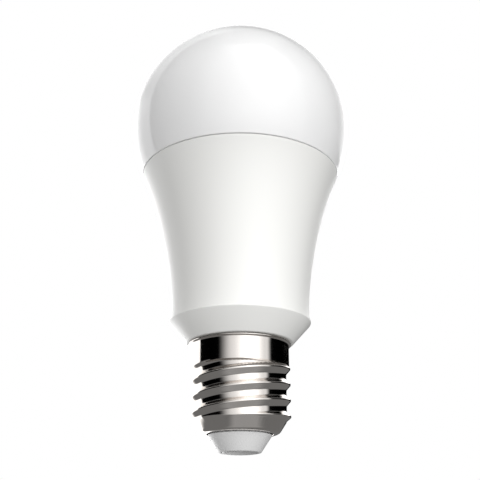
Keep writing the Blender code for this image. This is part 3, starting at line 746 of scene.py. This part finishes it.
sleeve_film = finish_with("sleeve_polyester", moulded_skin, {
    "Colour": (0.82, 0.82, 0.76, 1), "Flow Colour": (0.76, 0.75, 0.67, 1),
    "Grain Scale": 900.0, "Smooth": 0.28, "Rough": 0.45,
}, (0.15, 0.05 * MM))
refinish(sleeve_film, "driver_sleeve")


# ---------------------------------------------------------------------------
# Capacitors: two aluminium cans in plain dark shrink sleeve, open at the top
# where the bare can shows, and one film capacitor dipped in red-brown epoxy.

SLEEVE_OPENING = 0.25 * MM   # height of bare can above the sleeve's edge
for can_name in ("input_capacitor", "output_capacitor"):
    can_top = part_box(can_name)[1].z
    can_sleeve = finish_with(can_name + "_sleeve", banded_body, {
        "Colour": (0.035, 0.045, 0.07, 1), "Band Colour": (0.74, 0.75, 0.76, 1),
        "Band Start": can_top - SLEEVE_OPENING, "Band End": can_top + MM,
        "Lines": 0.0, "Smooth": 0.22, "Rough": 0.36,
    }, (0.15, 0.03 * MM))
    bare_metal_band(can_sleeve)
    refinish(can_sleeve, can_name)
dipped_epoxy = finish_with("film_capacitor_epoxy", moulded_skin, {
    "Colour": (0.50, 0.085, 0.045, 1), "Flow Colour": (0.40, 0.06, 0.03, 1),
    "Grain Scale": 1100.0, "Smooth": 0.12, "Rough": 0.28,
}, (0.35, 0.12 * MM))
refinish(dipped_epoxy, "film_capacitor")


# ---------------------------------------------------------------------------
# Magnetics: sintered ferrite, matt and nearly black. The choke's drum is wound with
# enamelled copper, and the transformer's winding is wrapped in yellow tape.

ferrite = finish_with("sintered_ferrite", moulded_skin, {
    "Colour": (0.045, 0.045, 0.048, 1), "Flow Colour": (0.075, 0.075, 0.075, 1),
    "Grain Scale": 3500.0, "Smooth": 0.6, "Rough": 0.85,
}, (0.4, 0.05 * MM))
refinish(ferrite, "transformer_core")
choke_low, choke_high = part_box("choke")
CHOKE_FLANGE = 1.3 * MM
WIRE_TURNS = math.tau / (0.35 * MM)      # one line for each turn of wire
TAPE_EDGES = math.tau / (1.8 * MM)       # and one for each lap of tape
wound_drum = finish_with("wound_drum_core", banded_body, {
    "Colour": (0.05, 0.05, 0.052, 1), "Band Colour": (0.58, 0.25, 0.09, 1),
    "Along": (0.0, 1.0, 0.0), "Band Start": choke_low.y + CHOKE_FLANGE,
    "Band End": choke_high.y - CHOKE_FLANGE, "Lines": WIRE_TURNS,
    "Smooth": 0.3, "Rough": 0.6,
}, (0.6, 0.08 * MM))
refinish(wound_drum, "choke")
winding_low, winding_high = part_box("transformer_winding")
winding_tape = finish_with("winding_tape", banded_body, {
    "Colour": (0.80, 0.60, 0.09, 1), "Band Colour": (0.86, 0.66, 0.12, 1),
    "Band Start": winding_low.z + MM, "Band End": winding_high.z - MM,
    "Lines": TAPE_EDGES, "Smooth": 0.32, "Rough": 0.5,
}, (0.4, 0.05 * MM))
refinish(winding_tape, "transformer_winding")


# ---------------------------------------------------------------------------
# Semiconductors and header: black transfer-moulded epoxy, matt from the mould, and
# the radio's pin header in glossier black nylon.

chip_epoxy = finish_with("chip_epoxy", moulded_skin, {
    "Colour": (0.020, 0.020, 0.022, 1), "Flow Colour": (0.032, 0.032, 0.033, 1),
    "Grain Scale": 5000.0, "Smooth": 0.48, "Rough": 0.7,
}, (0.35, 0.03 * MM))
refinish(chip_epoxy, "bridge_rectifier", "driver_chip", "radio_chip")
header_nylon = finish_with("header_nylon", moulded_skin, {
    "Colour": (0.016, 0.016, 0.016, 1), "Flow Colour": (0.026, 0.026, 0.026, 1),
    "Grain Scale": 2200.0, "Smooth": 0.28, "Rough": 0.42,
}, (0.15, 0.03 * MM))
refinish(header_nylon, "radio_header")


# ---------------------------------------------------------------------------
# Surge protection: a varistor disc dipped in blue epoxy, and a wire-wound fusible
# resistor in grey-green cement with four painted value rings.

varistor_epoxy = finish_with("varistor_epoxy", moulded_skin, {
    "Colour": (0.04, 0.13, 0.42, 1), "Flow Colour": (0.03, 0.10, 0.34, 1),
    "Grain Scale": 1300.0, "Smooth": 0.3, "Rough": 0.5,
}, (0.35, 0.1 * MM))
refinish(varistor_epoxy, "varistor")


def paint_rings(material, low, high, rings):
    """Paint rings of colour round an upright resistor, each (start, end, colour)."""
    tree = material.node_tree
    shader = tree.nodes["Principled BSDF"]
    axes = tree.nodes.new("ShaderNodeSeparateXYZ")
    tree.links.new(object_place(tree), axes.inputs[0])
    colour = shader.inputs["Base Color"].links[0].from_socket
    for start, end, paint in rings:
        above = calc(tree, "GREATER_THAN", axes.outputs["Z"], low + (high - low) * start)
        below = calc(tree, "LESS_THAN", axes.outputs["Z"], low + (high - low) * end)
        colour = blended(tree, calc(tree, "MULTIPLY", above, below), colour, (*paint, 1))
    tree.links.new(colour, shader.inputs["Base Color"])


resistor_low, resistor_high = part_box("fuse_resistor")
resistor_cement = finish_with("resistor_cement", moulded_skin, {
    "Colour": (0.33, 0.50, 0.43, 1), "Flow Colour": (0.29, 0.45, 0.39, 1),
    "Grain Scale": 2600.0, "Smooth": 0.5, "Rough": 0.75,
}, (0.4, 0.05 * MM))
paint_rings(resistor_cement, resistor_low.z, resistor_high.z, (
    (0.16, 0.24, (0.16, 0.06, 0.02)), (0.34, 0.42, (0.012, 0.012, 0.012)),
    (0.52, 0.60, (0.55, 0.28, 0.03)), (0.76, 0.84, (0.45, 0.33, 0.12))))
refinish(resistor_cement, "fuse_resistor")


# ---------------------------------------------------------------------------
# Pins, shield and antenna: tin-plated brass pins, a tin-plated steel can soldered
# over the radio chip, and the antenna's folded trace in gold-washed copper.

tin_plate = finish_with("tin_plate", drawn_metal, {
    "Colour": (0.74, 0.74, 0.72, 1), "Stain Colour": (0.58, 0.58, 0.55, 1),
    "Stain": 0.8, "Smooth": 0.2, "Rough": 0.38,
}, (0.15, 0.02 * MM), 1.0)
refinish(tin_plate, "radio_shield", *(f"board_pin_{number + 1}" for number in range(4)))
gold_wash = finish_with("antenna_gold_wash", drawn_metal, {
    "Colour": (0.86, 0.62, 0.30, 1), "Stain Colour": (0.74, 0.44, 0.22, 1),
    "Stain": 0.7, "Smooth": 0.22, "Rough": 0.36,
}, (0.15, 0.02 * MM), 1.0)
refinish(gold_wash, "radio_antenna")


# ---------------------------------------------------------------------------
# Supply wires: red to the contact's rivet and black to the shell, tinned copper in
# soft extruded insulation.

for wire, pigment, streak in (
        ("live_wire", (0.52, 0.025, 0.025), (0.42, 0.02, 0.02)),
        ("neutral_wire", (0.018, 0.018, 0.018), (0.030, 0.030, 0.030))):
    insulation = finish_with(wire + "_insulation", moulded_skin, {
        "Colour": (*pigment, 1), "Flow Colour": (*streak, 1),
        "Grain Scale": 1600.0, "Smooth": 0.34, "Rough": 0.5,
    }, (0.15, 0.03 * MM))
    refinish(insulation, wire)


# ---------------------------------------------------------------------------
# Studio: a pale matt floor well below the lamp and a white surround. Soft-edged
# panels light it: a wide one in front, taller ones behind, and weaker ones above
# and below.

FLOOR_HALF_SIDE = 6.0
FLOOR_HEIGHT = -0.5          # low enough to stay clear of a view from underneath
CAMERA_PLACE = (0.0, -0.209, -0.0223)
CAMERA_TILT = 20.73          # degrees up from level
CAMERA_LENS = 61.34          # focal length for the sensor's width, both in mm
CAMERA_SENSOR = 36.0
CAMERA_NEAR = 0.01

# A panel is a list of soft edges, each a reading with the values where the light
# starts and where it is full, and the strength that gloss and that matt surfaces get.
# x and y are parts of the direction; azimuth from the front and height in degrees.
FRONT_HEIGHTS = (("height", -30, 6), ("height", 80, 72))
BACK_LEFT = (("x", 0.05, -0.2), ("height", -26, -14))
STUDIO_PANELS = (
    ((("azimuth", -52, -15), ("azimuth", 78, 64), *FRONT_HEIGHTS), 1.08, 1.85),
    ((("azimuth", -20, 20), ("azimuth", 62, 30), *FRONT_HEIGHTS), 1.08, 1.85),
    ((("y", 0.25, 0.30), *BACK_LEFT), 0.85, 0.3),
    ((("y", 0.25, 0.30), *BACK_LEFT, ("height", 37, 27)), 0.85, 0.3),
    ((("y", 0.5, 0.9), *BACK_LEFT), 1.3, 0.5),
    ((("y", 0.5, 0.9), *BACK_LEFT, ("height", 37, 27)), 1.3, 0.5),
    ((("y", 0.5, 0.9), ("x", -0.2, 0.05), ("height", 13.5, 17), ("height", 60, 35)),
     2.6, 1.0),
    ((("x", -0.3, -0.12), ("x", 0.4, 0.25), ("y", 0.6, 0.45), ("height", 55, 65)),
     0.4, 0.4),
    ((("height", 22, 50),), 0.2, 0.2),
    ((("height", 3, -6),), 0.205, 0.425),
    ((("x", -0.45, -0.15), ("x", 0.75, 0.5), ("y", 0.25, -0.1), ("height", 3, -6)),
     0.2, 0.65),
)


def make_floor():
    """The floor, which the lamp neither reflects nor takes light or shade from."""
    half, height = FLOOR_HALF_SIDE, FLOOR_HEIGHT
    mesh = bpy.data.meshes.new("floor")
    mesh.from_pydata([(-half, -half, height), (half, -half, height),
                      (half, half, height), (-half, half, height)], [], [(0, 1, 2, 3)])
    floor = bpy.data.objects.new("floor", mesh)
    bpy.context.scene.collection.objects.link(floor)
    paint = bpy.data.materials.new("floor_paint")
    paint.use_nodes = True
    shader = paint.node_tree.nodes["Principled BSDF"]
    shader.inputs["Base Color"].default_value = (0.9, 0.9, 0.9, 1)
    shader.inputs["Roughness"].default_value = 0.9
    mesh.materials.append(paint)
    floor.visible_glossy = False
    floor.visible_diffuse = False
    floor.visible_shadow = False


def studio_readings(tree):
    """The readings that place a panel, taken from the direction of a ray."""
    axes = tree.nodes.new("ShaderNodeSeparateXYZ")
    tree.links.new(tree.nodes.new("ShaderNodeTexCoord").outputs["Generated"], axes.inputs[0])
    x, y, z = (axes.outputs[axis] for axis in "XYZ")
    azimuth = calc(tree, "ARCTAN2", x, calc(tree, "MULTIPLY", y, -1.0))
    return {"x": x, "y": y, "azimuth": calc(tree, "DEGREES", azimuth),
            "height": calc(tree, "DEGREES", calc(tree, "ARCSINE", z))}


def soft_edge(tree, reading, start, full):
    """0 at the starting value of a reading, 1 at the full one, eased between them."""
    node = tree.nodes.new("ShaderNodeMapRange")
    node.interpolation_type = "SMOOTHSTEP"
    node.inputs["From Min"].default_value = start
    node.inputs["From Max"].default_value = full
    tree.links.new(reading, node.inputs["Value"])
    return node.outputs["Result"]


def make_surround():
    """The studio's panels as a sky, with plain white where it is seen directly."""
    world = bpy.data.worlds.new("studio")
    bpy.context.scene.world = world
    world.use_nodes = True
    tree = world.node_tree
    tree.nodes.clear()
    readings = studio_readings(tree)
    path = tree.nodes.new("ShaderNodeLightPath")
    light = 0.0
    for edges, in_gloss, on_matt in STUDIO_PANELS:
        panel = calc(tree, "MULTIPLY_ADD", path.outputs["Is Diffuse Ray"],
                     on_matt - in_gloss, in_gloss)
        for reading, start, full in edges:
            edge = soft_edge(tree, readings[reading], start, full)
            panel = calc(tree, "MULTIPLY", panel, edge)
        light = calc(tree, "ADD", light, panel)
    studio = tree.nodes.new("ShaderNodeBackground")
    tree.links.new(light, studio.inputs["Strength"])
    backdrop = tree.nodes.new("ShaderNodeBackground")
    backdrop.inputs["Strength"].default_value = 1.0
    backdrop.inputs["Color"].default_value = (1, 1, 1, 1)
    choose = tree.nodes.new("ShaderNodeMixShader")
    tree.links.new(path.outputs["Is Camera Ray"], choose.inputs["Fac"])
    tree.links.new(studio.outputs["Background"], choose.inputs[1])
    tree.links.new(backdrop.outputs["Background"], choose.inputs[2])
    output = tree.nodes.new("ShaderNodeOutputWorld")
    tree.links.new(choose.outputs["Shader"], output.inputs["Surface"])


def make_camera():
    """Looking up at the lamp from just below its contact."""
    data = bpy.data.cameras.new("camera")
    data.lens = CAMERA_LENS
    data.sensor_width = CAMERA_SENSOR
    data.clip_start = CAMERA_NEAR
    camera = bpy.data.objects.new("camera", data)
    camera.location = CAMERA_PLACE
    camera.rotation_euler = (math.radians(90 + CAMERA_TILT), 0.0, 0.0)
    bpy.context.scene.collection.objects.link(camera)
    bpy.context.scene.camera = camera


make_floor()
make_surround()
make_camera()
bpy.context.scene.view_settings.view_transform = "Standard"

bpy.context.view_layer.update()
